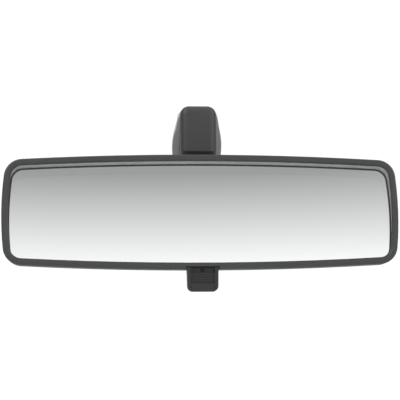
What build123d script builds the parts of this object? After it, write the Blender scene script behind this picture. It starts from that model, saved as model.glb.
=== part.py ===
from build123d import *
import math
import os

# Interior rearview mirror with a day/night prism.
# Millimetres. +X runs along the mirror, the driver looks along +Y at its face, and +Z is up.
# The origin is the centre of the bonded face on the windscreen.

# Head outline
head_width = 212.0
head_height = 61.8
side_bow = 2.2
top_bow = 3.1
corner_radius = 9.8

# Where the head hangs from the windscreen face
head_drop = 45.0
head_reach = 44.0

# Bezel
bezel_depth = 8.0
rim_width = 3.7
rim_chamfer = 1.0
rim_rounding = 1.3
lip_depth = 1.2
pocket_wall = 2.2
hook_length = 3.0
hook_thickness = 0.9
hook_inset = 1.3
hook_clearance = 0.2
hook_width = 12.0
hook_places = (-90.0, -62.0, -32.0, 32.0, 62.0, 90.0)
notch_depth = 1.6
notch_clearance = 0.3

# Prism glass and what lies behind it
glass_clearance = 0.2
glass_top_thickness = 6.4
glass_bottom_thickness = 2.2
glass_edge_break = 0.3
coating_thickness = 0.1
pad_thickness = 1.0
pad_inset = 3.0

# Rear housing
housing_wall = 2.0
housing_back_depth = 33.4
housing_back_half_width = 46.0
housing_back_half_height = 9.4
housing_seam_step = 0.15
housing_back_rounding = 2.0
rib_thickness = 1.4
rib_places = (-76.0, -48.0, 48.0, 76.0)
opening_margin = 6.0
opening_drop = 0.45
opening_start = 2.0
opening_end = 26.0

# Ball joint
ball_radius = 7.5
ball_depth = 22.5
ball_rise = 1.0
seat_thickness = 1.5
ball_fit = 0.04
seat_half_gap = 0.3
mouth_length = 4.5
barrel_wall = 2.4
swivel_range = 15.0
roll_range = 8.0
tilt_range = 12.0

# Ball stud and support arm
neck_lean = 15.0
neck_radius = 3.5
neck_length = 17.5
collar_radius = 6.0
collar_length = 10.0
shank_radius = 2.8
flange_radius = 4.5
flange_thickness = 1.4
flange_clearance = 0.2
arm_half_width = 5.5

# Windscreen foot
screen_slope = 50.0
foot_half_width = 14.1
foot_top = 22.5
foot_bottom = 20.0
foot_side_radius = 45.0
foot_shoulder = 12.0
foot_top_half = 10.6
foot_top_corner = 4.5
foot_bottom_corner = 6.0
foot_thickness = 4.5
foot_gap = 0.3
bond_thickness = 0.5
button_thickness = 2.4
button_top = 11.0
button_bottom = 13.0
button_half_width = 10.0
button_undercut = 1.4
slot_clearance = 0.1
spring_half_width = 4.0
spring_strip = 0.5
spring_rise = 1.1

# Arm cover
cover_half_width = 10.2
cover_wall = 1.8
cover_front_depth = 22.5
cover_top = 63.5
cover_top_corner = 5.1
cover_rounding = 4.8
cover_knee = 37.0
cover_toe_depth = 39.5
cover_toe = 12.5
cover_heel_depth = 50.5
screen_clearance = 1.0
cover_gap = 0.1
screw_height = 20.0
screw_radius = 1.25
screw_head_radius = 2.6
screw_head_height = 1.5
screw_length = 10.0

# Clamp of the ball joint
cup_front_wall = 0.8723
cup_setback = 2.0
disc_spring_height = 1.3
disc_spring_thickness = 0.6
retainer_thickness = 1.6
seat_eye_radius = 3.0

# Pivot bracket
bracket_half_width = 20.0
bracket_depth = 12.5
bracket_thickness = 2.5
bracket_above_lever = 11.0
hinge_inset = 11.9
hinge_barrel_radius = 3.0
hinge_pin_radius = 1.5
hinge_pin_inner = 12.0
hinge_boss_thickness = 6.0
hinge_boss_half_height = 3.6
side_gap = 0.4
running_clearance = 0.05
flip_angle = 4.2
tongue_half_width = 4.5
prong_thickness = 1.4
prong_overlap = 1.5
bumper_radius = 2.5
bumper_side = 14.0
bumper_above_edge = 5.0
bumper_clearance = 0.3

# Day/night lever
lever_half_width = 8.35
lever_foot_half_width = 8.15
lever_reach = 0.6
lever_hang = 11.6
lever_axis_depth = 11.5
lever_axis_inset = 5.9
lever_swing = 40.0
lever_pin_radius = 1.0
lever_hub_radius = 2.4
cheek_thickness = 2.0
cam_pin_radius = 1.2
cam_clearance = 0.25
lever_boss_thickness = 3.0
lever_boss_half_width = 3.4
lever_corner = 2.9
lever_rail = 1.7
lever_recess_depth = 2.6
lever_recess_length = 3.2
rib_count = 4
rib_radius = 0.28
panel_depth = 0.9
panel_length = 5.4
lever_pad_rise = 0.3
lever_pad_gap = 0.25
lever_pad_margin = 0.9
pip_radius = 1.0
coil_radius = 1.9
coil_wire = 0.5
coil_turns = 6

# Worked out from the sizes above
half_width = head_width / 2
half_height = head_height / 2
socket_radius = ball_radius + seat_thickness + ball_fit
barrel_radius = socket_radius + barrel_wall
cup_length = math.sqrt(socket_radius ** 2 - seat_eye_radius ** 2) + cup_front_wall - cup_setback
head_place = Pos(0, -head_reach, -head_drop)
screen_plane = Plane(
    origin=(0, 0, 0),
    x_dir=(-1, 0, 0),
    z_dir=(0, math.sin(math.radians(screen_slope)), math.cos(math.radians(screen_slope))),
)
neck_direction = (0, math.cos(math.radians(neck_lean)), math.sin(math.radians(neck_lean)))
neck_plane = Plane(origin=(0, ball_depth, ball_rise), x_dir=(1, 0, 0), z_dir=neck_direction)
hinge_depth = bracket_depth + bracket_thickness / 2
hinge_rise = half_height - hinge_inset
lever_axis_rise = lever_axis_inset - half_height
lever_bottom = -half_height - lever_hang
bracket_bottom = lever_axis_rise + bracket_above_lever
cam_radius = (
    (hinge_rise - lever_axis_rise) * math.tan(math.radians(flip_angle))
    / (2 * math.sin(math.radians(lever_swing / 2)) + math.tan(math.radians(flip_angle)))
)
cam_depth = lever_axis_depth + cam_radius * math.sin(math.radians(lever_swing / 2))
cam_rise = lever_axis_rise + cam_radius * math.cos(math.radians(lever_swing / 2))


# Helpers. Head pieces use depth behind the bezel's front as Y and height above the head's middle as Z.
def block(x0, x1, y0, y1, z0, z1):
    """Box between two corners."""
    return Pos((x0 + x1) / 2, (y0 + y1) / 2, (z0 + z1) / 2) * Box(x1 - x0, y1 - y0, z1 - z0)


def rod_x(radius, x0, x1, y, z):
    """Cylinder along X."""
    return Pos((x0 + x1) / 2, y, z) * Rot(0, 90, 0) * Cylinder(radius, x1 - x0)


def rod_y(radius, y0, y1, x=0, z=0):
    """Cylinder along Y."""
    return Pos(x, (y0 + y1) / 2, z) * Rot(90, 0, 0) * Cylinder(radius, y1 - y0)


def side_prism(points, reach):
    """Side profile in (Y, Z), extruded both ways along X."""
    return extrude(Plane.YZ * make_face(Polyline(*points, close=True)), amount=reach, both=True)


def depth_plane(depth):
    """Plane across the head at a depth, facing the windscreen."""
    return Plane(origin=(0, depth, 0), x_dir=(-1, 0, 0), z_dir=(0, 1, 0))


def bowed_face(wide, high, corner, side_sag, top_sag):
    """Rounded outline whose four sides bow outwards."""
    x = wide - side_sag
    z = high - top_sag
    sides = [
        ThreePointArc((-x, z), (0, high), (x, z)),
        ThreePointArc((x, z), (wide, 0), (x, -z)),
        ThreePointArc((x, -z), (0, -high), (-x, -z)),
        ThreePointArc((-x, -z), (-wide, 0), (-x, z)),
    ]
    face = make_face(sides)
    return fillet(face.vertices(), corner)


def head_face(inset):
    """The head's outline, moved inwards."""
    wide = half_width - inset
    high = half_height - inset
    side_sag = side_bow * (high / half_height) ** 2
    top_sag = top_bow * (wide / half_width) ** 2
    return bowed_face(wide, high, corner_radius - inset, side_sag, top_sag)


def head_prism(inset, start, end):
    """The head's outline, extruded between two depths."""
    return extrude(depth_plane(start) * head_face(inset), amount=end - start)


def solid_of_turn(points, plane):
    """Profile in (radius, length) turned round a plane's normal."""
    profile = Plane.XZ * make_face(Polyline(*points, close=True))
    return plane.location * revolve(profile, Axis.Z)


# Windscreen foot and arm
def foot_face(grow=0.0):
    """Outline of the foot on the windscreen: bowed flanks that narrow to the top."""
    wide = foot_half_width + grow
    top = foot_top + grow
    bottom = foot_bottom + grow
    shoulder = wide - foot_side_radius + math.sqrt(foot_side_radius ** 2 - foot_shoulder ** 2)
    heel = wide - foot_side_radius + math.sqrt(foot_side_radius ** 2 - bottom ** 2)
    top_half = foot_top_half + grow
    outline = [
        Line((top_half, top), (shoulder, foot_shoulder)),
        ThreePointArc((shoulder, foot_shoulder), (wide, 0), (heel, -bottom)),
        Line((heel, -bottom), (-heel, -bottom)),
        ThreePointArc((-heel, -bottom), (-wide, 0), (-shoulder, foot_shoulder)),
        Line((-shoulder, foot_shoulder), (-top_half, top)),
        Line((-top_half, top), (top_half, top)),
    ]
    face = make_face(outline)
    face = fillet(face.vertices().sort_by(Axis.Y)[-2:], foot_top_corner + grow)
    return fillet(face.vertices().sort_by(Axis.Y)[:2], foot_bottom_corner + grow)


def screen_slab(face, outer, inner):
    """A face on the windscreen plane, extruded inwards between two distances from the glass."""
    return screen_plane.location * (Pos(0, 0, -inner) * extrude(face, amount=inner - outer))


def dovetail(clearance, bottom, top):
    """The button's section: wider on the side away from the glass."""
    outer = bond_thickness - clearance
    inner = bond_thickness + button_thickness + clearance
    wide = button_half_width + clearance
    narrow = wide - button_undercut
    section = make_face(Polyline((-narrow, -outer), (narrow, -outer), (wide, -inner), (-wide, -inner), close=True))
    bar = extrude(Plane.XZ * section, amount=(top + bottom) / 2, both=True)
    return screen_plane.location * (Pos(0, (top - bottom) / 2, 0) * bar)


def adhesive_pad():
    pad = RectangleRounded(2 * (button_half_width - button_undercut), button_top + button_bottom, 2.0)
    return screen_slab(Pos(0, (button_top - button_bottom) / 2) * pad, 0, bond_thickness)


def windscreen_button():
    return dovetail(0, button_bottom, button_top)


def screen_point(up, inward):
    """Head coordinates (depth, height) of a place on the windscreen plane."""
    slope = math.radians(screen_slope)
    y = -up * math.cos(slope) - inward * math.sin(slope)
    z = up * math.sin(slope) - inward * math.cos(slope)
    return (y + head_reach, z + head_drop)


def collar():
    """Round boss that takes the ball stud's shank."""
    return neck_plane.location * Pos(0, 0, neck_length + collar_length / 2) * Cylinder(collar_radius, collar_length)


def support_arm():
    slope_start = screen_point(-button_bottom - 1, foot_thickness - 1)
    slope_end = screen_point(7, foot_thickness - 1)
    heel = (cover_heel_depth - 2.5, ball_rise + 8)
    beam = [
        slope_end,
        (cover_toe_depth + 2.8, cover_toe + 10),
        (cover_toe_depth + 2.8, ball_rise + 8),
        heel,
        (heel[0] + 0.6, slope_start[1] - 3),
        slope_start,
    ]
    arm = screen_slab(foot_face(), foot_gap, foot_thickness)
    arm += head_place * side_prism(beam, arm_half_width)
    arm += head_place * collar()
    slot_open = foot_bottom + 1
    arm -= dovetail(slot_clearance, slot_open, button_top + slot_clearance)
    opening = Pos(0, (button_top - slot_open) / 2) * Rectangle(2 * button_half_width - 2, button_top + slot_open)
    arm -= screen_slab(opening, 0, bond_thickness + slot_clearance)
    channel_length = button_top + button_bottom
    channel = Pos(0, (button_top - button_bottom) / 2) * Rectangle(2 * spring_half_width + 0.6, channel_length)
    floor = bond_thickness + button_thickness + spring_rise + spring_strip + 0.2
    arm -= screen_slab(channel, 0, floor)
    shank = Pos(0, 0, neck_length + collar_length / 2) * Cylinder(shank_radius, collar_length)
    arm -= head_place * (neck_plane.location * shank)
    seat_length = flange_thickness + collar_radius
    seat = Pos(0, 0, neck_length - seat_length / 2) * Cylinder(flange_radius + flange_clearance, seat_length)
    arm -= head_place * (neck_plane.location * seat)
    screw_end = cover_heel_depth + screw_head_height - screw_length
    arm -= head_place * rod_y(screw_radius, screw_end, cover_heel_depth, 0, screw_height)
    return arm


def retaining_spring():
    """Bowed strip that presses the foot's slot against the button."""
    start = -button_bottom + 2
    end = button_top - 2
    middle = (start + end) / 2
    base = -(bond_thickness + button_thickness + slot_clearance)
    low = base - spring_rise
    strip = make_face([
        ThreePointArc((start, low), (middle, base), (end, low)),
        Line((end, low), (end, low - spring_strip)),
        ThreePointArc((end, low - spring_strip), (middle, base - spring_strip), (start, low - spring_strip)),
        Line((start, low - spring_strip), (start, low)),
    ])
    solid = extrude(Plane.YZ * strip, amount=spring_half_width, both=True)
    return screen_plane.location * solid


def ball_stud():
    """Ball, waisted neck, seating flange and the shank that is pressed into the arm."""
    shank_end = neck_length + collar_length
    stem = solid_of_turn([
        (0, 0),
        (neck_radius, 0),
        (neck_radius, neck_length - flange_thickness - 1),
        (flange_radius, neck_length - flange_thickness),
        (flange_radius, neck_length),
        (shank_radius, neck_length),
        (shank_radius, shank_end),
        (0, shank_end),
    ], Plane.XY)
    ball = Sphere(ball_radius) - Pos(0, 0, -ball_radius - 5 + 0.8) * Box(20, 20, 10)
    return head_place * (neck_plane.location * (stem + ball))


def heel_top_point():
    """Where the cover's back meets the lower end of the foot."""
    depth, rise = screen_point(-foot_bottom, foot_thickness)
    return (depth - 1, rise)


def cover_profile():
    """Side outline of the arm cover: a lip over the foot's top end, then along the foot's underside."""
    top_up = (cover_top - head_drop) / math.sin(math.radians(screen_slope))
    back_top = screen_point(top_up, 0)[0] - screen_clearance / math.sin(math.radians(screen_slope))
    return [
        (cover_front_depth, cover_top),
        (back_top, cover_top),
        screen_point(foot_top / 2, screen_clearance),
        screen_point(foot_top / 2, foot_thickness),
        heel_top_point(),
        (cover_heel_depth, cover_toe),
        (cover_toe_depth, cover_toe),
        (cover_front_depth, cover_knee),
    ]


def cover_hollow_profile():
    """Side outline of the cover's hollow, open at the back and at the bottom."""
    slant = cover_wall * math.hypot(
        cover_toe_depth - cover_front_depth, cover_knee - cover_toe) / (cover_knee - cover_toe)
    far = cover_heel_depth + 20
    return [
        (cover_front_depth + cover_wall, cover_top - cover_wall),
        (far, cover_top - cover_wall),
        (far, cover_toe - 5),
        (cover_toe_depth + slant, cover_toe - 5),
        (cover_toe_depth + slant, cover_toe),
        (cover_front_depth + cover_wall, cover_knee + slant - cover_wall),
    ]


def rounded_window(wide, high, corner):
    """Front outline with rounded top corners, extruded through the cover."""
    low = cover_toe - 12
    window = Pos(0, (low + high) / 2) * Rectangle(2 * wide, high - low)
    window = fillet(window.vertices().sort_by(Axis.Y)[2:], corner)
    return extrude(depth_plane(cover_front_depth - 5) * window, amount=60)


def round_front(body, radius):
    """Round the edges between a cover form's front faces and its sides and top."""
    front = body.faces().sort_by(Axis.Y)[0]
    slant = body.faces().filter_by(lambda f: f.normal_at().Y < -0.3 and f.normal_at().Z < -0.3)[0]
    rim = [e for e in front.edges() + slant.edges() if abs(e.center().X) > 0.01 or e.center().Z > cover_knee + 5]
    return fillet(rim, radius)


def cover_solid():
    """The arm cover's outer form."""
    body = side_prism(cover_profile(), cover_half_width)
    body &= rounded_window(cover_half_width, cover_top, cover_top_corner)
    return round_front(body, cover_rounding)


def arm_cover():
    hollow = side_prism(cover_hollow_profile(), cover_half_width - cover_wall)
    hollow &= rounded_window(cover_half_width - cover_wall, cover_top - cover_wall, cover_top_corner - cover_wall)
    hollow = round_front(hollow, cover_rounding - cover_wall)
    shell = head_place * (cover_solid() - hollow)
    return shell - screen_slab(foot_face(cover_gap), 0, foot_thickness + cover_gap)


def rear_lean():
    """How far the cover's back leans for each millimetre of height."""
    depth, rise = heel_top_point()
    return (depth - cover_heel_depth) / (rise - cover_toe)


def arm_rear_cover():
    """Plate between the arm cover's side walls, flush with their rear edges."""
    low = cover_toe + cover_gap
    high = heel_top_point()[1] - 3.2
    reach = rear_lean() * (high - low)
    plate = side_prism([
        (cover_heel_depth - cover_wall, low),
        (cover_heel_depth, low),
        (cover_heel_depth + reach, high),
        (cover_heel_depth - cover_wall + reach, high),
    ], cover_half_width - cover_wall - cover_gap)
    hole = rod_y(screw_radius + 0.15, cover_heel_depth - 6, cover_heel_depth + 6, 0, screw_height)
    return head_place * (plate - hole)


def arm_cover_screw():
    seat = cover_heel_depth + rear_lean() * (screw_height + screw_head_radius - cover_toe)
    head = rod_y(screw_head_radius, seat, seat + screw_head_height, 0, screw_height)
    shank = rod_y(screw_radius, cover_heel_depth + screw_head_height - screw_length, seat, 0, screw_height)
    cross = block(-1.6, 1.6, seat + 0.6, seat + 3, screw_height - 0.35, screw_height + 0.35)
    cross += block(-0.35, 0.35, seat + 0.6, seat + 3, screw_height - 1.6, screw_height + 1.6)
    return head_place * (head + shank - cross)


# Ball seats and clamp
def seat_shell():
    """Hollow ball that both seats are cut from."""
    return Pos(0, ball_depth, ball_rise) * (Sphere(socket_radius - ball_fit) - Sphere(ball_radius + ball_fit))


def rear_ball_seat():
    reach = barrel_radius
    ring = seat_shell() & rod_y(reach, ball_depth + seat_half_gap, ball_depth + mouth_length - 0.2, 0, ball_rise)
    return head_place * ring


def front_ball_seat():
    reach = barrel_radius
    cap = seat_shell() & rod_y(reach, ball_depth - reach, ball_depth - seat_half_gap, 0, ball_rise)
    eye = rod_y(seat_eye_radius, ball_depth - reach, ball_depth, 0, ball_rise)
    return head_place * (cap - eye)


def clamp_depths():
    """Depths of the cup's front, the disc spring's front and the retainer's front."""
    cup_front = ball_depth - cup_setback - cup_length
    spring_front = cup_front - disc_spring_height
    return cup_front, spring_front, spring_front - retainer_thickness


def pressure_cup():
    cup_front = clamp_depths()[0]
    cup = rod_y(socket_radius - ball_fit, cup_front, ball_depth - cup_setback, 0, ball_rise)
    cup -= Pos(0, ball_depth, ball_rise) * Sphere(socket_radius)
    return head_place * (cup - rod_y(seat_eye_radius, cup_front - 1, ball_depth, 0, ball_rise))


def clamp_spring():
    """Dished disc spring between the pressure cup and the retainer."""
    cup_front, spring_front, _ = clamp_depths()
    outer = socket_radius - 0.4
    inner = seat_eye_radius + 1
    rise = cup_front - spring_front - disc_spring_thickness
    disc = solid_of_turn([
        (inner, rise),
        (outer, 0),
        (outer, disc_spring_thickness),
        (inner, rise + disc_spring_thickness),
    ], Plane(origin=(0, spring_front, ball_rise), x_dir=(1, 0, 0), z_dir=(0, 1, 0)))
    return head_place * disc


def spring_retainer():
    _, spring_front, retainer_front = clamp_depths()
    cap = rod_y(socket_radius, retainer_front, spring_front, 0, ball_rise)
    cap -= rod_y(seat_eye_radius, retainer_front - 1, spring_front + 1, 0, ball_rise)
    for side in (-1, 1):
        cap -= rod_y(0.9, retainer_front - 1, spring_front + 1, side * 5.5, ball_rise)
    return head_place * cap


# Pivot bracket
def bracket_tongue():
    """Fork that stands over the lever's cam pin."""
    gap = cam_pin_radius + cam_clearance
    low = cam_rise - prong_overlap
    high = bracket_bottom + 1
    fork = block(-tongue_half_width, tongue_half_width,
                 cam_depth - gap - prong_thickness, cam_depth + gap + prong_thickness, low, high)
    slot_top = cam_rise + gap + 0.4
    fork -= block(-tongue_half_width - 1, tongue_half_width + 1, cam_depth - gap, cam_depth + gap, low - 1, slot_top)
    return fork


def pivot_bracket():
    retainer_front = clamp_depths()[2]
    back = bracket_depth + bracket_thickness
    body = block(-bracket_half_width, bracket_half_width, bracket_depth, back, bracket_bottom, hinge_rise)
    body += rod_x(hinge_barrel_radius, -bracket_half_width, bracket_half_width, hinge_depth, hinge_rise)
    for side in (-1, 1):
        wall_middle = side * (bracket_half_width - 1)
        body += block(wall_middle - 1, wall_middle + 1, bracket_depth, back + 3, bracket_bottom, hinge_rise)
    body += bracket_tongue()
    body += rod_y(barrel_radius, retainer_front, ball_depth + mouth_length, 0, ball_rise)
    body -= rod_y(socket_radius, retainer_front - 1, ball_depth, 0, ball_rise)
    body -= Pos(0, ball_depth, ball_rise) * Sphere(socket_radius)
    body -= rod_x(hinge_pin_radius + running_clearance, -bracket_half_width - 1, bracket_half_width + 1,
                  hinge_depth, hinge_rise)
    return head_place * body


def backing_plane_depth(rise):
    """Depth of the backing pad's rear face at a height."""
    glass_half = half_height - pocket_wall - glass_clearance
    share = (rise + glass_half) / (2 * glass_half)
    glass = glass_bottom_thickness + share * (glass_top_thickness - glass_bottom_thickness)
    return lip_depth + glass + coating_thickness + pad_thickness


def stop_bumpers():
    """Two rubber buffers that the glass backing comes to rest on."""
    rise = bracket_bottom + bumper_above_edge
    travel = (hinge_rise - rise + bumper_radius) * math.tan(math.radians(flip_angle))
    tip = backing_plane_depth(rise + bumper_radius) + travel + bumper_clearance
    buffers = [rod_y(bumper_radius, tip, bracket_depth, side * bumper_side, rise) for side in (-1, 1)]
    return head_place * Compound(children=buffers)


# Head
def wedge_slab(inset, start, end):
    """Layer of the head's outline between two distances behind the glass's front and sloping back."""
    glass_half = half_height - pocket_wall - glass_clearance
    lean = math.degrees(math.atan((glass_top_thickness - glass_bottom_thickness) / (2 * glass_half)))
    middle = lip_depth + (glass_top_thickness + glass_bottom_thickness) / 2
    slab = Box(head_width + 20, end - start, head_height + 20)
    slab = Pos(0, middle, 0) * Rot(-lean, 0, 0) * Pos(0, (start + end) / 2, 0) * slab
    return head_prism(inset, lip_depth, 30) & slab


def glass_inset():
    return pocket_wall + glass_clearance


def mirror_glass():
    slab = wedge_slab(glass_inset(), -20, 0)
    front_edges = slab.faces().sort_by(Axis.Y)[0].edges()
    return head_place * chamfer(front_edges, glass_edge_break)


def mirror_coating():
    return head_place * wedge_slab(glass_inset(), 0, coating_thickness)


def glass_backing_pad():
    start = coating_thickness
    return head_place * wedge_slab(glass_inset() + pad_inset, start, start + pad_thickness)


def bezel_frame():
    ring = head_prism(0, 0, bezel_depth)
    ring = fillet(ring.faces().sort_by(Axis.Y)[0].edges(), rim_rounding)
    ring -= head_prism(pocket_wall, lip_depth, bezel_depth + 1)
    hole = head_prism(rim_width, -1, bezel_depth)
    flare = loft([
        depth_plane(-0.01) * head_face(rim_width - rim_chamfer),
        depth_plane(rim_chamfer) * head_face(rim_width),
    ])
    ring -= hole + flare
    for x in hook_places:
        for side in (-1, 1):
            ring += bezel_hook(x, side)
    notch_half = lever_half_width + notch_clearance
    ring -= block(-notch_half, notch_half, -1, bezel_depth + 1, -half_height - 1, -half_height + notch_depth)
    for side in (-1, 1):
        ring -= block(side * notch_half - 0.3, side * notch_half + 0.3, -1, 1.0,
                      -half_height - 1, -half_height + notch_depth + 0.5)
    return head_place * ring


def bezel_hook(x, side):
    """Snap hook that reaches from the bezel's wall into the rear housing."""
    band = head_prism(hook_inset, bezel_depth - 1, bezel_depth + hook_length)
    band -= head_prism(hook_inset + hook_thickness, bezel_depth - 2, bezel_depth + hook_length + 1)
    low, high = (0, half_height) if side > 0 else (-half_height, 0)
    return band & block(x - hook_width / 2, x + hook_width / 2, 0, 20, low, high)


def shell_sections(wall):
    """Depth, half width, half height and corner of each section of the housing, moved inwards by a wall."""
    depth = housing_back_depth - bezel_depth
    steps = [
        (0.0, 0.0, 0.0, 0.0, 1.0, 1.0),
        (0.17, 0.015, 0.033, 0.3, 1.0, 1.0),
        (0.42, 0.092, 0.177, 2.5, 0.9, 1.0),
        (0.67, 0.267, 0.41, 4.0, 0.75, 1.1),
        (0.88, 0.6, 0.726, 2.5, 0.6, 1.2),
        (1.0, 1.0, 1.0, -2.5, 0.4, 1.3),
    ]
    sections = []
    width_span = half_width - housing_back_half_width
    height_span = half_height - housing_back_half_height
    for share, width_share, height_share, corner_gain, height_part, width_part in steps:
        width_loss = max(width_share * width_span, housing_seam_step)
        height_loss = max(height_share * height_span, housing_seam_step)
        into = bezel_depth + share * depth - wall * math.sqrt(1 - height_part ** 2)
        wide = half_width - width_loss - wall * width_part
        high = half_height - height_loss - wall * height_part
        corner = corner_radius + corner_gain - 0.6 * wall
        sections.append((into, wide, high, min(corner, high - top_bow - 1)))
    return sections


def housing_form(wall):
    """The rear housing's outer form, or its hollow when a wall is given."""
    faces = []
    for into, wide, high, corner in shell_sections(wall):
        side_sag = side_bow * (high / half_height) ** 2
        top_sag = top_bow * (wide / half_width) ** 2
        faces.append(depth_plane(into) * bowed_face(wide, high, corner, side_sag, top_sag))
    return loft(faces)


def neck_opening():
    """Cone that the neck sweeps when the head is turned, with a margin."""
    aside = swivel_range + roll_range * math.sin(math.radians(neck_lean))
    along = tilt_range + flip_angle
    turn = math.degrees(math.acos(math.cos(math.radians(aside)) * math.cos(math.radians(along))))
    cone_half = math.radians(turn + opening_margin)
    rod = neck_radius / math.cos(cone_half)
    near = opening_start * math.tan(cone_half) + rod
    far = opening_end * math.tan(cone_half) + rod
    cone = Cone(near, far, opening_end - opening_start)
    return neck_plane.location * Pos(0, opening_drop, (opening_start + opening_end) / 2) * cone


def housing_bosses():
    """Blocks inside the housing that hold the hinge pins and the lever's pin."""
    bosses = []
    inner = bracket_half_width + side_gap
    lever_inner = lever_half_width + side_gap + 0.4
    for side in (-1, 1):
        near, far = sorted((side * inner, side * (inner + hinge_boss_thickness)))
        bosses.append(block(near, far, hinge_depth - hinge_boss_half_height, housing_back_depth,
                            hinge_rise - hinge_boss_half_height, hinge_rise + hinge_boss_half_height))
        near, far = sorted((side * lever_inner, side * (lever_inner + lever_boss_thickness)))
        bosses.append(block(near, far, lever_axis_depth - lever_boss_half_width, housing_back_depth,
                            -half_height, lever_axis_rise + lever_boss_half_width))
    return bosses


def rear_housing():
    outer = housing_form(0)
    outer = fillet(outer.faces().sort_by(Axis.Y)[-1].edges(), housing_back_rounding)
    rebate = head_prism(hook_inset - hook_clearance, 0, bezel_depth + hook_length + hook_clearance)
    shell = outer - housing_form(housing_wall) - rebate
    for boss in housing_bosses():
        shell += boss & outer
    behind_pad = wedge_slab(housing_wall, pad_thickness + coating_thickness, 60)
    for x in rib_places:
        rib = block(x - rib_thickness / 2, x + rib_thickness / 2, bezel_depth, housing_back_depth,
                    -half_height, half_height)
        shell += rib & outer & behind_pad & head_prism(glass_inset() + pad_inset, 0, 60)
    shell -= neck_opening()
    notch_half = lever_half_width + notch_clearance
    slot_back = lever_axis_depth + lever_hub_radius + 4
    shell -= block(-notch_half, notch_half, 0, slot_back, -half_height - 1, lever_axis_rise + 2)
    inner = bracket_half_width + side_gap
    pin_end = inner + hinge_boss_thickness - 1.5
    shell -= rod_x(hinge_pin_radius, -pin_end, pin_end, hinge_depth, hinge_rise)
    lever_pin_end = lever_pin_half_length()
    shell -= rod_x(lever_pin_radius, -lever_pin_end, lever_pin_end, lever_axis_depth, lever_axis_rise)
    return head_place * shell


def lever_pin_half_length():
    return lever_half_width + side_gap + 0.4 + lever_boss_thickness - 0.8


def bracket_pivot_pins():
    end = bracket_half_width + side_gap + hinge_boss_thickness - 1.5
    pins = [
        rod_x(hinge_pin_radius, hinge_pin_inner, end, hinge_depth, hinge_rise),
        rod_x(hinge_pin_radius, -end, -hinge_pin_inner, hinge_depth, hinge_rise),
    ]
    return head_place * Compound(children=pins)


def lever_pivot_pin():
    end = lever_pin_half_length()
    return head_place * rod_x(lever_pin_radius, -end, end, lever_axis_depth, lever_axis_rise)


def lever_spring():
    """Torsion coil round the lever's pin, with one leg against the housing."""
    pitch = coil_wire + 0.25
    height = coil_turns * pitch
    path = Helix(pitch, height, coil_radius)
    start_plane = Plane(origin=path @ 0, z_dir=path % 0)
    coil = sweep(start_plane * Circle(coil_wire / 2), path=path)
    return head_place * (Pos(-height / 2, lever_axis_depth, lever_axis_rise) * Rot(0, 90, 0) * coil)


# Lever
def lever_profile():
    """Side outline of the tab and of the shank that rises to the pin."""
    front = lever_reach
    top = -half_height + notch_depth - notch_clearance
    back_of_bezel = bezel_depth + 0.5
    return [
        (front, top),
        (front, lever_bottom + 1.4),
        (front + 1.2, lever_bottom),
        (front + 3.8, lever_bottom),
        (front + 4.8, lever_bottom + 1.4),
        (front + 6.2, -half_height - 2.5),
        (lever_axis_depth + 1.6, lever_axis_rise - 2.2),
        (lever_axis_depth, lever_axis_rise - 1.8),
        (back_of_bezel + 1.0, lever_axis_rise - 3.2),
        (back_of_bezel, top),
    ]


def day_night_lever():
    tab = side_prism(lever_profile(), lever_half_width)
    taper_drop = lever_bottom - 1
    outline = make_face(Polyline(
        (-lever_half_width, lever_axis_rise + 10),
        (lever_half_width, lever_axis_rise + 10),
        (lever_half_width, -half_height),
        (lever_foot_half_width, taper_drop + 1),
        (-lever_foot_half_width, taper_drop + 1),
        (-lever_half_width, -half_height),
        close=True,
    ))
    outline = fillet(outline.vertices().sort_by(Axis.Y)[:2], lever_corner)
    tab = tab & extrude(depth_plane(-5) * outline, amount=40)
    inner = lever_half_width - cheek_thickness
    tab -= rod_x(coil_radius + coil_wire / 2 + side_gap, -inner, inner, lever_axis_depth, lever_axis_rise)
    for side in (-1, 1):
        tab += lever_cheek(side)
    tab += rod_x(cam_pin_radius, -lever_half_width + 0.5, lever_half_width - 0.5, cam_depth, cam_rise)
    tab -= rod_x(lever_pin_radius + running_clearance, -lever_half_width - 1, lever_half_width + 1,
                 lever_axis_depth, lever_axis_rise)
    tab -= lever_recesses()
    for rise in lever_rib_heights():
        tab += rod_x(rib_radius, -lever_panel_half(), lever_panel_half(), lever_reach + panel_depth, rise)
    pip_depth = lever_reach + lever_recess_depth
    tab += Pos(0, pip_depth, lever_top() - lever_recess_length / 2) * Sphere(pip_radius)
    return head_place * tab


def lever_top():
    """Height of the tab's upper edge, just under the bezel's notch."""
    return -half_height + notch_depth - notch_clearance


def lever_panel_half():
    return lever_foot_half_width - lever_rail


def lever_panel_bottom():
    return lever_top() - lever_recess_length - panel_length


def lever_rib_heights():
    """Heights of the finger ribs, evenly spread over the panel."""
    pitch = panel_length / (rib_count + 0.5)
    top = lever_top() - lever_recess_length
    return [top - pitch * (number + 0.75) for number in range(rib_count)]


def lever_recesses():
    """Deep recess under the bezel, the ribbed panel below it and the pocket of the grip pad."""
    half = lever_panel_half()
    front = lever_reach - 1
    top = lever_top()
    deep_low = top - lever_recess_length
    panel_low = lever_panel_bottom()
    cut = block(-half, half, front, lever_reach + lever_recess_depth, deep_low, top + 1)
    cut += block(-half, half, front, lever_reach + panel_depth, panel_low, deep_low)
    cut += block(-half, half, front, lever_reach + lever_pad_gap, lever_bottom + lever_pad_margin, panel_low)
    return cut


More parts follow.
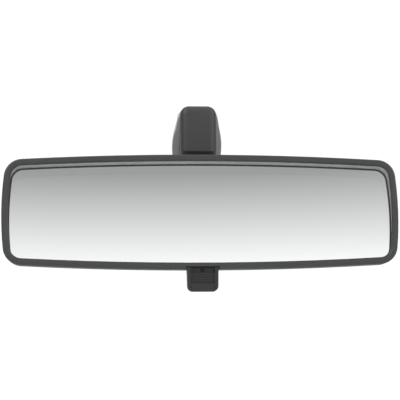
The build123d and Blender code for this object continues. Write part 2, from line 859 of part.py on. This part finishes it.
def lever_cheek(side):
    """Side cheek from the tab up round the pin to the cam bar."""
    outer = side * lever_half_width
    inner = outer - side * cheek_thickness
    near, far = sorted((outer, inner))
    hub = rod_x(lever_hub_radius, near, far, lever_axis_depth, lever_axis_rise)
    tip = rod_x(cam_pin_radius + 0.6, near, far, cam_depth, cam_rise)
    across_y = cam_depth - lever_axis_depth
    across_z = cam_rise - lever_axis_rise
    length = math.hypot(across_y, across_z)
    nx = across_z / length * (cam_pin_radius + 0.6)
    nz = -across_y / length * (cam_pin_radius + 0.6)
    web = side_prism([
        (lever_axis_depth + nx, lever_axis_rise + nz),
        (cam_depth + nx, cam_rise + nz),
        (cam_depth - nx, cam_rise - nz),
        (lever_axis_depth - nx, lever_axis_rise - nz),
    ], lever_half_width)
    web = web & block(near, far, -20, 60, -60, 60)
    return hub + tip + web


def lever_grip_pad():
    """Raised soft pad on the lower part of the tab."""
    top = lever_panel_bottom() - lever_pad_gap
    low = lever_bottom + lever_pad_margin + lever_pad_gap
    wide = lever_panel_half() - lever_pad_gap
    face = Pos(0, (top + low) / 2) * RectangleRounded(2 * wide, top - low, 0.9)
    thickness = lever_pad_rise + lever_pad_gap
    pad = extrude(depth_plane(lever_reach - lever_pad_rise) * face, amount=thickness)
    return head_place * fillet(pad.faces().sort_by(Axis.Y)[0].edges(), 0.25)


nodes = {
    "adhesive_pad": adhesive_pad,
    "windscreen_button": windscreen_button,
    "support_arm": support_arm,
    "retaining_spring": retaining_spring,
    "ball_stud": ball_stud,
    "arm_cover": arm_cover,
    "arm_rear_cover": arm_rear_cover,
    "arm_cover_screw": arm_cover_screw,
    "rear_ball_seat": rear_ball_seat,
    "front_ball_seat": front_ball_seat,
    "pivot_bracket": pivot_bracket,
    "pressure_cup": pressure_cup,
    "clamp_spring": clamp_spring,
    "spring_retainer": spring_retainer,
    "stop_bumpers": stop_bumpers,
    "bezel_frame": bezel_frame,
    "rear_housing": rear_housing,
    "mirror_glass": mirror_glass,
    "mirror_coating": mirror_coating,
    "glass_backing_pad": glass_backing_pad,
    "bracket_pivot_pins": bracket_pivot_pins,
    "lever_pivot_pin": lever_pivot_pin,
    "lever_spring": lever_spring,
    "day_night_lever": day_night_lever,
    "lever_grip_pad": lever_grip_pad,
}

os.makedirs("parts", exist_ok=True)
for name, make in nodes.items():
    export_step(make(), f"parts/{name}.step")
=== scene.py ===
"""Looks of an interior rearview mirror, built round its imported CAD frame."""

import logging
import math
from dataclasses import dataclass
from enum import Enum

import bmesh
import bpy
from mathutils import Matrix, Vector

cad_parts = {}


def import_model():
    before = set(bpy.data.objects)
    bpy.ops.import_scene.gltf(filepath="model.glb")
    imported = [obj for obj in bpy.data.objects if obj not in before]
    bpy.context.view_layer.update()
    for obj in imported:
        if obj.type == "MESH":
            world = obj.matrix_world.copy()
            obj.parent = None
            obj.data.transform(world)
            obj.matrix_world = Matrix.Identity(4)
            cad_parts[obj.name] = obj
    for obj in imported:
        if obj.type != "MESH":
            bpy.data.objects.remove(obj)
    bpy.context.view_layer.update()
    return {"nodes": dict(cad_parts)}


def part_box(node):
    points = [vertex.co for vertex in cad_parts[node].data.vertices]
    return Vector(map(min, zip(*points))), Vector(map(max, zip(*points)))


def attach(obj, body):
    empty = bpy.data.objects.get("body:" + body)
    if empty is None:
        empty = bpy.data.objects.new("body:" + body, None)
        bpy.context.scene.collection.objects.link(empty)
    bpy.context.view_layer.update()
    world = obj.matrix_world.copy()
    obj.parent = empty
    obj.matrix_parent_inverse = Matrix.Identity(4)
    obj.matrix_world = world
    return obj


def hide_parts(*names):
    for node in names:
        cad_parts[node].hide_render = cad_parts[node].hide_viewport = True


LOG = logging.getLogger("rearview_mirror")
MM = 0.001
WELD_REACH = 0.001 * MM
EDGE_SAMPLES = 6
EDGE_COSINE = 0.86
Colour = tuple[float, float, float]


class Body(Enum):
    """Rigid bodies that new pieces ride on, by their name in the frame."""

    HEAD = "head"


class Slot(Enum):
    """Material slots of the record for the new pieces; nothing in this script uses them."""

    GLASS = "prism_glass"
    SILVER = "silver_coating"


class Graph:
    """A material's node tree with short calls for the nodes that the finishes use."""

    def __init__(self, name: str) -> None:
        """Start an empty material with an output and a Principled shader.

        Args:
            name: the material's name.
        """
        self.material = bpy.data.materials.new(name)
        self.material.use_nodes = True
        self.nodes = self.material.node_tree.nodes
        self.links = self.material.node_tree.links
        self.nodes.clear()
        self.output = self.nodes.new("ShaderNodeOutputMaterial")
        self.shader = self.nodes.new("ShaderNodeBsdfPrincipled")
        self.links.new(self.shader.outputs["BSDF"], self.output.inputs["Surface"])
        self.place = self.nodes.new("ShaderNodeTexCoord").outputs["Object"]

    def noise(self, scale: float, detail: float = 3.0, rough: float = 0.55) -> bpy.types.NodeSocket:
        """Noise on object coordinates.

        Args:
            scale: features per metre.
            detail: octaves.
            rough: weight of the finer octaves.

        Returns:
            The noise's value socket.
        """
        node = self.nodes.new("ShaderNodeTexNoise")
        node.inputs["Scale"].default_value = scale
        node.inputs["Detail"].default_value = detail
        node.inputs["Roughness"].default_value = rough
        self.links.new(self.place, node.inputs["Vector"])
        return node.outputs["Fac"]

    def cells(self, scale: float) -> bpy.types.NodeSocket:
        """Rounded Voronoi cells, as moulded leather-like grain has.

        Args:
            scale: cells per metre.

        Returns:
            The distance socket.
        """
        node = self.nodes.new("ShaderNodeTexVoronoi")
        node.feature = "SMOOTH_F1"
        node.inputs["Scale"].default_value = scale
        self.links.new(self.place, node.inputs["Vector"])
        return node.outputs["Distance"]

    def ramp(self, source: bpy.types.NodeSocket, low: float, high: float) -> bpy.types.NodeSocket:
        """Map a 0 to 1 value onto a range.

        Args:
            source: the value to map.
            low: result at 0.
            high: result at 1.

        Returns:
            The mapped value.
        """
        node = self.nodes.new("ShaderNodeMapRange")
        node.inputs["To Min"].default_value = low
        node.inputs["To Max"].default_value = high
        self.links.new(source, node.inputs["Value"])
        return node.outputs["Result"]

    def tint(self, source: bpy.types.NodeSocket, dark: Colour, light: Colour) -> bpy.types.NodeSocket:
        """Blend two colours by a value.

        Args:
            source: blend value, 0 to 1.
            dark: colour at 0.
            light: colour at 1.

        Returns:
            The colour socket.
        """
        node = self.nodes.new("ShaderNodeMix")
        node.data_type = "RGBA"
        node.inputs["A"].default_value = (*dark, 1.0)
        node.inputs["B"].default_value = (*light, 1.0)
        self.links.new(source, node.inputs["Factor"])
        return node.outputs["Result"]

    def bump(self, source: bpy.types.NodeSocket, height: float, strength: float = 1.0,
             under: bpy.types.NodeSocket | None = None) -> bpy.types.NodeSocket:
        """Raise the surface by a value.

        Args:
            source: height map.
            height: distance in metres for a full step.
            strength: share of the effect.
            under: normal socket of a layer beneath.

        Returns:
            The normal socket.
        """
        node = self.nodes.new("ShaderNodeBump")
        node.inputs["Distance"].default_value = height
        node.inputs["Strength"].default_value = strength
        self.links.new(source, node.inputs["Height"])
        if under is not None:
            self.links.new(under, node.inputs["Normal"])
        return node.outputs["Normal"]

    def edges(self, radius: float) -> bpy.types.NodeSocket:
        """Mask that is bright near sharp edges and corners.

        Args:
            radius: reach of the mask in metres.

        Returns:
            Value from 0 on flats to 1 on edges.
        """
        bevel = self.nodes.new("ShaderNodeBevel")
        bevel.samples = EDGE_SAMPLES
        bevel.inputs["Radius"].default_value = radius
        geometry = self.nodes.new("ShaderNodeNewGeometry")
        dot = self.nodes.new("ShaderNodeVectorMath")
        dot.operation = "DOT_PRODUCT"
        self.links.new(bevel.outputs["Normal"], dot.inputs[0])
        self.links.new(geometry.outputs["Normal"], dot.inputs[1])
        span = self.nodes.new("ShaderNodeMapRange")
        span.inputs["From Min"].default_value = 1.0
        span.inputs["From Max"].default_value = EDGE_COSINE
        self.links.new(dot.outputs["Value"], span.inputs["Value"])
        return span.outputs["Result"]

    def maths(self, kind: str, first: bpy.types.NodeSocket,
              second: bpy.types.NodeSocket | float) -> bpy.types.NodeSocket:
        """Combine two values.

        Args:
            kind: the operation's name.
            first: the first value.
            second: the second value, a socket or a number.

        Returns:
            The result socket.
        """
        node = self.nodes.new("ShaderNodeMath")
        node.operation = kind
        self.links.new(first, node.inputs[0])
        if isinstance(second, bpy.types.NodeSocket):
            self.links.new(second, node.inputs[1])
        else:
            node.inputs[1].default_value = second
        return node.outputs["Value"]

    def mask(self, first: bpy.types.NodeSocket, second: bpy.types.NodeSocket,
             amount: float) -> bpy.types.NodeSocket:
        """Break one mask up by another.

        Args:
            first: the mask.
            second: what breaks it up.
            amount: share of the first mask that is left where the second is at its middle, 0.5.

        Returns:
            The product.
        """
        return self.maths("MULTIPLY", self.maths("MULTIPLY", first, second), amount * 2)

    def lower(self, value: bpy.types.NodeSocket, mask: bpy.types.NodeSocket,
              amount: float) -> bpy.types.NodeSocket:
        """Lower a value where a mask is bright.

        Args:
            value: the value.
            mask: where to lower it.
            amount: how far.

        Returns:
            The lowered value.
        """
        return self.maths("SUBTRACT", value, self.maths("MULTIPLY", mask, amount))

    def blend(self, mask: bpy.types.NodeSocket, under: bpy.types.NodeSocket,
              over: Colour) -> bpy.types.NodeSocket:
        """Lay a colour over another by a mask.

        Args:
            mask: where the upper colour shows.
            under: the lower colour.
            over: the upper colour.

        Returns:
            The colour socket.
        """
        node = self.nodes.new("ShaderNodeMix")
        node.data_type = "RGBA"
        colours = [i for i in node.inputs if i.type == "RGBA"]
        self.links.new(mask, node.inputs["Factor"])
        self.links.new(under, colours[0])
        colours[1].default_value = (*over, 1.0)
        return node.outputs["Result"]

    def set(self, socket: str, value: float | bpy.types.NodeSocket | Colour) -> None:
        """Set or link one of the shader's sockets.

        Args:
            socket: the socket's name.
            value: a number, a colour or another node's socket.
        """
        target = self.shader.inputs[socket]
        if isinstance(value, bpy.types.NodeSocket):
            self.links.new(value, target)
        elif isinstance(value, tuple):
            target.default_value = (*value, 1.0)
        else:
            target.default_value = value


def shade(base: Colour, share: float) -> Colour:
    """Darken or lighten a colour.

    Args:
        base: the colour.
        share: what each channel is multiplied by.

    Returns:
        The new colour.
    """
    return tuple(channel * share for channel in base)


@dataclass(frozen=True)
class MouldedPlastic:
    """Injection-moulded plastic with a spark-eroded grain and slightly polished edges."""

    name: str
    base: Colour
    roughness: float = 0.5
    grain: float = 2600.0
    grain_height: float = 0.03 * MM
    worn: float = 0.35
    edge_reach: float = 0.6 * MM
    specular: float = 0.5
    patches: float = 60.0
    dark_share: float = 0.86
    light_share: float = 1.14
    rubbed_share: float = 1.5
    fine_ratio: float = 1.9
    swing: float = 0.06
    rubbed_shine: float = 0.14
    leather_strength: float = 0.7
    fine_share: float = 0.5
    fine_strength: float = 0.5

    def make(self) -> bpy.types.Material:
        """Build the material.

        Returns:
            The material.
        """
        graph = Graph(self.name)
        mottled = graph.noise(self.patches, detail=4.0)
        skin = graph.tint(mottled, shade(self.base, self.dark_share), shade(self.base, self.light_share))
        rubbed = graph.mask(graph.edges(self.edge_reach), mottled, self.worn)
        graph.set("Base Color", graph.blend(rubbed, skin, shade(self.base, self.rubbed_share)))
        fine = graph.noise(self.grain * self.fine_ratio, detail=2.0)
        smooth = graph.ramp(fine, self.roughness - self.swing, self.roughness + self.swing)
        graph.set("Roughness", graph.lower(smooth, rubbed, self.rubbed_shine))
        graph.set("Specular IOR Level", self.specular)
        leather = graph.bump(graph.cells(self.grain), self.grain_height, self.leather_strength)
        fine_height = self.grain_height * self.fine_share
        graph.set("Normal", graph.bump(fine, fine_height, self.fine_strength, leather))
        return graph.material


@dataclass(frozen=True)
class Metal:
    """Metal with fine machining marks or a cast skin."""

    name: str
    base: Colour
    roughness: float = 0.35
    grain: float = 1500.0
    grain_height: float = 0.01 * MM
    metallic: float = 1.0
    patches: float = 90.0
    dark_share: float = 0.85
    smoother: float = 0.08
    rougher: float = 0.1
    grain_strength: float = 0.6

    def make(self) -> bpy.types.Material:
        """Build the material.

        Returns:
            The material.
        """
        graph = Graph(self.name)
        cloud = graph.noise(self.patches, detail=5.0)
        graph.set("Base Color", graph.tint(cloud, shade(self.base, self.dark_share), self.base))
        fine = graph.noise(self.grain, detail=3.0)
        smoothest = self.roughness - self.smoother
        roughest = self.roughness + self.rougher
        graph.set("Roughness", graph.ramp(fine, smoothest, roughest))
        graph.set("Metallic", self.metallic)
        graph.set("Normal", graph.bump(fine, self.grain_height, self.grain_strength))
        return graph.material


@dataclass(frozen=True)
class SoftSolid:
    """Rubber, foam or bonding film."""

    name: str
    base: Colour
    roughness: float = 0.85
    pore: float = 1800.0
    pore_height: float = 0.05 * MM
    pore_share: float = 0.6
    pore_strength: float = 0.8
    specular: float = 0.3

    def make(self) -> bpy.types.Material:
        """Build the material.

        Returns:
            The material.
        """
        graph = Graph(self.name)
        pores = graph.cells(self.pore)
        graph.set("Base Color", graph.tint(pores, self.base, shade(self.base, self.pore_share)))
        graph.set("Roughness", self.roughness)
        graph.set("Specular IOR Level", self.specular)
        graph.set("Normal", graph.bump(pores, self.pore_height, self.pore_strength))
        return graph.material


@dataclass(frozen=True)
class PolishedGlass:
    """Clear float glass with a faint green cast."""

    name: str
    cast: Colour
    ior: float = 1.52
    haze_patches: float = 35.0
    haze: float = 0.004

    def make(self) -> bpy.types.Material:
        """Build the material.

        Returns:
            The material.
        """
        graph = Graph(self.name)
        graph.set("Base Color", self.cast)
        graph.set("Transmission Weight", 1.0)
        graph.set("IOR", self.ior)
        cloud = graph.noise(self.haze_patches, detail=4.0)
        graph.set("Roughness", graph.ramp(cloud, 0.0, self.haze))
        return graph.material


@dataclass(frozen=True)
class GroundGlass:
    """Ground edge of the glass: milky, slightly green."""

    name: str
    base: Colour
    grit: float = 4000.0
    grit_height: float = 0.02 * MM
    grit_strength: float = 0.5
    dark_share: float = 0.93
    smoothest: float = 0.45
    roughest: float = 0.7

    def make(self) -> bpy.types.Material:
        """Build the material.

        Returns:
            The material.
        """
        graph = Graph(self.name)
        cut = graph.noise(self.grit, detail=3.0)
        graph.set("Base Color", graph.tint(cut, shade(self.base, self.dark_share), self.base))
        graph.set("Roughness", graph.ramp(cut, self.smoothest, self.roughest))
        graph.set("Normal", graph.bump(cut, self.grit_height, self.grit_strength))
        return graph.material


@dataclass(frozen=True)
class Silver:
    """Silvered back of the glass."""

    name: str
    base: Colour
    patches: float = 20.0
    dark_share: float = 0.995

    def make(self) -> bpy.types.Material:
        """Build the material.

        Returns:
            The material.
        """
        graph = Graph(self.name)
        depth = graph.noise(self.patches, detail=2.0)
        graph.set("Base Color", graph.tint(depth, shade(self.base, self.dark_share), self.base))
        graph.set("Metallic", 1.0)
        graph.set("Roughness", 0.0)
        return graph.material


def dress(nodes: dict[str, bpy.types.Object], names: tuple[str, ...], finish: bpy.types.Material) -> None:
    """Give CAD nodes a finish.

    Args:
        nodes: the frame's nodes.
        names: the nodes to dress.
        finish: the material.
    """
    for name in names:
        slots = nodes[name].data.materials
        if not slots:
            slots.append(finish)
        for index in range(len(slots)):
            slots[index] = finish
        LOG.info("%s dressed in %s", name, finish.name)


def merged_copy(source: bpy.types.Object, name: str) -> bpy.types.Object:
    """Copy a CAD node's mesh with its doubles merged.

    Args:
        source: the CAD node.
        name: the new piece's name.

    Returns:
        The new object, at the origin.
    """
    work = bmesh.new()
    work.from_mesh(source.data)
    bmesh.ops.remove_doubles(work, verts=work.verts, dist=WELD_REACH)
    mesh = bpy.data.meshes.new(name)
    work.to_mesh(mesh)
    work.free()
    piece = bpy.data.objects.new(name, mesh)
    bpy.context.scene.collection.objects.link(piece)
    return piece


@dataclass
class PrismGlass:
    """Wedge glass with a ground edge, and the silver film on its sloping back."""

    silver_lead: float = 0.03 * MM
    silver_shrink: tuple[float, float, float] = (0.9995, 1.0, 0.998)
    flat_normal: float = 0.9
    glass: Colour = (0.985, 1.0, 0.992)
    edge: Colour = (0.98, 1.0, 0.985)
    silver: Colour = (0.95, 0.955, 0.955)

    def build(self, nodes: dict[str, bpy.types.Object]) -> None:
        """Make both pieces in place of the CAD glass and coating.

        Args:
            nodes: the frame's nodes.
        """
        self.make_glass(nodes["mirror_glass"])
        self.make_silver(nodes["mirror_coating"])

    def make_glass(self, source: bpy.types.Object) -> None:
        """Copy the wedge and grind its edge.

        Args:
            source: the CAD glass.
        """
        piece = merged_copy(source, "prism_glass")
        piece.data.materials.clear()
        piece.data.materials.append(PolishedGlass("clear_glass", self.glass).make())
        piece.data.materials.append(GroundGlass("ground_edge", self.edge).make())
        for face in piece.data.polygons:
            face.material_index = 0 if abs(face.normal.y) > self.flat_normal else 1
            face.use_smooth = False
        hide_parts("mirror_glass")
        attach(piece, Body.HEAD.value)
        LOG.info("prism_glass built")

    def make_silver(self, source: bpy.types.Object) -> None:
        """Copy the coating and sink it a hair into the glass, so that light meets silver before air.

        Args:
            source: the CAD coating.
        """
        piece = merged_copy(source, "silver_film")
        piece.data.transform(Matrix.Translation((0, -self.silver_lead, 0)))
        middle = Vector(map(sum, zip(*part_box("mirror_coating")))) / 2
        shrink = Matrix.Diagonal((*self.silver_shrink, 1.0))
        piece.data.transform(Matrix.Translation(middle) @ shrink @ Matrix.Translation(-middle))
        piece.data.materials.clear()
        piece.data.materials.append(Silver("silver_back", self.silver).make())
        for face in piece.data.polygons:
            face.use_smooth = False
        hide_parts("mirror_coating")
        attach(piece, Body.HEAD.value)
        LOG.info("silver_film built")


@dataclass
class Studio:
    """Plain pale floor, soft light and the camera."""

    head_middle: Vector
    distance: float = 0.587
    lens: float = 99.4
    azimuth: float = -4.04
    elevation: float = -7.97
    roll: float = -0.56
    shift: tuple[float, float] = (-0.0059, 0.0283)
    floor_drop: float = 0.42
    key_energy: float = 6.0
    flag_start: float = 0.55
    flag_end: float = 0.85
    flag_light: float = 0.2
    sky: tuple[tuple[float, float], ...] = (
        (0.20, 1.05),
        (0.300, 1.17),
        (0.392, 0.33),
        (0.52, 0.30),
        (0.8, 0.9),
    )
    backdrop_strength: float = 1.05
    floor_half_size: float = 6.0
    sensor_width: float = 36.0
    near_clip: float = 0.01
    paper_patches: float = 3.0
    paper_dark: Colour = (0.9, 0.9, 0.9)
    paper_light: Colour = (0.94, 0.94, 0.94)
    paper_roughness: float = 0.9
    light_size: float = 0.8
    fill_share: float = 0.8
    key_offset: tuple[float, float, float] = (-0.9, -0.5, 0.75)
    fill_offset: tuple[float, float, float] = (0.95, -0.35, 0.55)

    def build(self) -> None:
        """Set the stage."""
        self.make_camera()
        self.make_floor()
        self.make_world()
        self.make_lights()
        bpy.context.scene.view_settings.view_transform = "Standard"

    def make_camera(self) -> None:
        """Aim the camera at the head's middle."""
        data = bpy.data.cameras.new("camera")
        data.lens = self.lens
        data.sensor_width = self.sensor_width
        data.shift_x, data.shift_y = self.shift
        data.clip_start = self.near_clip
        camera = bpy.data.objects.new("camera", data)
        bpy.context.scene.collection.objects.link(camera)
        around = math.radians(self.azimuth)
        above = math.radians(self.elevation)
        level = math.cos(above)
        back = Vector((math.sin(around) * level, -math.cos(around) * level, math.sin(above)))
        place = self.head_middle + back * self.distance
        turn = back.to_track_quat("Z", "Y").to_matrix().to_4x4()
        roll = Matrix.Rotation(math.radians(self.roll), 4, "Z")
        camera.matrix_world = Matrix.Translation(place) @ turn @ roll
        bpy.context.scene.camera = camera

    def make_floor(self) -> None:
        """Lay a wide white floor well below the mirror."""
        work = bmesh.new()
        bmesh.ops.create_grid(work, x_segments=1, y_segments=1, size=self.floor_half_size)
        bmesh.ops.translate(work, verts=work.verts, vec=(0, 0, self.head_middle.z - self.floor_drop))
        mesh = bpy.data.meshes.new("floor")
        work.to_mesh(mesh)
        work.free()
        floor = bpy.data.objects.new("floor", mesh)
        bpy.context.scene.collection.objects.link(floor)
        graph = Graph("floor_white")
        paper = graph.noise(self.paper_patches, detail=2.0)
        graph.set("Base Color", graph.tint(paper, self.paper_dark, self.paper_light))
        graph.set("Roughness", self.paper_roughness)
        mesh.materials.append(graph.material)

    def make_world(self) -> None:
        """White surroundings with a darker band above the horizon, and dark flags at both sides."""
        world = bpy.data.worlds.new("studio")
        bpy.context.scene.world = world
        world.use_nodes = True
        nodes = world.node_tree.nodes
        links = world.node_tree.links
        nodes.clear()
        output = nodes.new("ShaderNodeOutputWorld")
        place = nodes.new("ShaderNodeTexCoord")
        split = nodes.new("ShaderNodeSeparateXYZ")
        links.new(place.outputs["Generated"], split.inputs["Vector"])
        ramp = nodes.new("ShaderNodeValToRGB")
        ramp.color_ramp.interpolation = "LINEAR"
        elements = ramp.color_ramp.elements
        while len(elements) < len(self.sky):
            elements.new(position=0.5)
        for element, (place_at, value) in zip(elements, self.sky):
            element.position = place_at
            element.color = (value, value, value, 1.0)
        links.new(split.outputs["Z"], ramp.inputs["Fac"])
        soft = nodes.new("ShaderNodeBackground")
        links.new(ramp.outputs["Color"], soft.inputs["Color"])
        aside = nodes.new("ShaderNodeMath")
        aside.operation = "ABSOLUTE"
        links.new(split.outputs["X"], aside.inputs[0])
        flags = nodes.new("ShaderNodeMapRange")
        flags.inputs["From Min"].default_value = self.flag_start
        flags.inputs["From Max"].default_value = self.flag_end
        flags.inputs["To Min"].default_value = 1.0
        flags.inputs["To Max"].default_value = self.flag_light
        links.new(aside.outputs["Value"], flags.inputs["Value"])
        links.new(flags.outputs["Result"], soft.inputs["Strength"])
        white = nodes.new("ShaderNodeBackground")
        white.inputs["Color"].default_value = (1, 1, 1, 1)
        white.inputs["Strength"].default_value = self.backdrop_strength
        path = nodes.new("ShaderNodeLightPath")
        mix = nodes.new("ShaderNodeMixShader")
        links.new(path.outputs["Is Camera Ray"], mix.inputs["Fac"])
        links.new(soft.outputs["Background"], mix.inputs[1])
        links.new(white.outputs["Background"], mix.inputs[2])
        links.new(mix.outputs["Shader"], output.inputs["Surface"])

    def make_lights(self) -> None:
        """Two soft lights, left and right, above the mirror."""
        self.area("key_light", Vector(self.key_offset), self.light_size, self.key_energy)
        self.area("fill_light", Vector(self.fill_offset), self.light_size, self.key_energy * self.fill_share)

    def area(self, name: str, offset: Vector, size: float, energy: float) -> None:
        """Add a square soft light that faces the head.

        Args:
            name: the light's name.
            offset: its place from the head's middle, in metres.
            size: its side in metres.
            energy: its power in watts.
        """
        data = bpy.data.lights.new(name, "AREA")
        data.size = size
        data.energy = energy
        light = bpy.data.objects.new(name, data)
        bpy.context.scene.collection.objects.link(light)
        light.location = self.head_middle + offset
        light.rotation_euler = offset.to_track_quat("Z", "Y").to_euler()


@dataclass
class Casing:
    """Bezel, rear housing, arm covers and lever."""

    bezel: MouldedPlastic = MouldedPlastic("bezel_grain", (0.045, 0.046, 0.047), 0.47)
    shell: MouldedPlastic = MouldedPlastic("shell_grain", (0.046, 0.046, 0.048), 0.46)
    lever: MouldedPlastic = MouldedPlastic("lever_satin", (0.020, 0.0195, 0.020), 0.42)

    def dress(self, nodes: dict[str, bpy.types.Object]) -> None:
        """Give the casings their grain.

        Args:
            nodes: the frame's nodes.
        """
        dress(nodes, ("bezel_frame",), self.bezel.make())
        dress(nodes, ("rear_housing", "arm_cover", "arm_rear_cover"), self.shell.make())
        dress(nodes, ("day_night_lever", "lever_grip_pad"), self.lever.make())


@dataclass
class Works:
    """Pieces that the casings hide, the foot, and what bonds it to the windscreen."""

    # Grey die-cast foot. Its colour is raised well above its own grey as painted light, which stands in for
    # the light falling on the foot's flares from above.
    painted_light_casting: Metal = Metal("die_cast_with_painted_light", (0.62, 0.62, 0.625), roughness=0.5, grain=900.0,
                           grain_height=0.03 * MM, metallic=0.0)
    button: Metal = Metal("sintered_steel", (0.4, 0.4, 0.4), roughness=0.5)
    spring: Metal = Metal("spring_steel", (0.45, 0.45, 0.46))
    plate: Metal = Metal("zinc_plate", (0.66, 0.66, 0.64), roughness=0.28)
    acetal: MouldedPlastic = MouldedPlastic("acetal", (0.78, 0.78, 0.73), roughness=0.35, grain=1500.0,
                                            grain_height=0.01 * MM)
    nylon: MouldedPlastic = MouldedPlastic("filled_nylon", (0.04, 0.04, 0.042), roughness=0.55, grain=1800.0)
    rubber: SoftSolid = SoftSolid("bumper_rubber", (0.02, 0.02, 0.02))
    foam: SoftSolid = SoftSolid("backing_foam", (0.08, 0.08, 0.08), roughness=0.95, pore=1200.0,
                                pore_height=0.1 * MM)
    film: SoftSolid = SoftSolid("bonding_film", (0.25, 0.25, 0.27), roughness=0.6)

    def dress(self, nodes: dict[str, bpy.types.Object]) -> None:
        """Give the inner pieces their finishes.

        Args:
            nodes: the frame's nodes.
        """
        plated = ("ball_stud", "arm_cover_screw", "spring_retainer", "bracket_pivot_pins", "lever_pivot_pin")
        # The foot gets the lightened grey: painted light in place of the light on its flares.
        dress(nodes, ("support_arm",), self.painted_light_casting.make())
        dress(nodes, ("windscreen_button",), self.button.make())
        dress(nodes, ("retaining_spring", "clamp_spring", "lever_spring"), self.spring.make())
        dress(nodes, plated, self.plate.make())
        dress(nodes, ("rear_ball_seat", "front_ball_seat", "pressure_cup"), self.acetal.make())
        dress(nodes, ("pivot_bracket",), self.nylon.make())
        dress(nodes, ("stop_bumpers",), self.rubber.make())
        dress(nodes, ("glass_backing_pad",), self.foam.make())
        dress(nodes, ("adhesive_pad",), self.film.make())


def main() -> None:
    """Build the looks in order."""
    logging.basicConfig(level=logging.INFO)
    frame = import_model()
    nodes = frame["nodes"]
    low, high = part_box("bezel_frame")
    head_middle = Vector((0, low.y, (low.z + high.z) / 2))
    Studio(head_middle).build()
    Casing().dress(nodes)
    Works().dress(nodes)
    PrismGlass().build(nodes)


if __name__ == "__main__":
    main()
